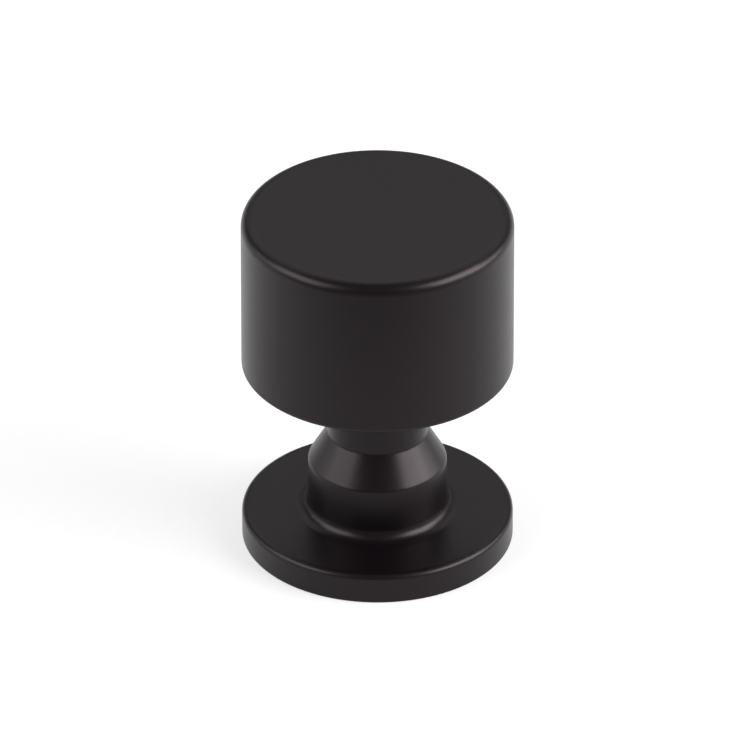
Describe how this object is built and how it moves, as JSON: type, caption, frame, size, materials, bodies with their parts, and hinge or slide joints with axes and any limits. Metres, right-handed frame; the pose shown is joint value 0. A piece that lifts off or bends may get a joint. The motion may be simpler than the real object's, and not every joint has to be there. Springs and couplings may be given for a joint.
{
  "type": "cabinet knob",
  "caption": "Round cabinet knob in satin black: a flat-topped cylindrical head on a stem with a coned shoulder and a round base plate, fixed by a screw from behind.",
  "frame": {"origin": "centre of the base plate's flat back, on the knob's axis", "axes": "+Z along the knob's axis, out of the cabinet front towards the head; X and Y are free, because the knob is round"},
  "size_m": [0.0254, 0.0254, 0.0345],
  "materials": {
    "satin_black": "satin"
  },
  "bodies": {
    "root": {"knob": "satin_black"}
  },
  "joints": []
}
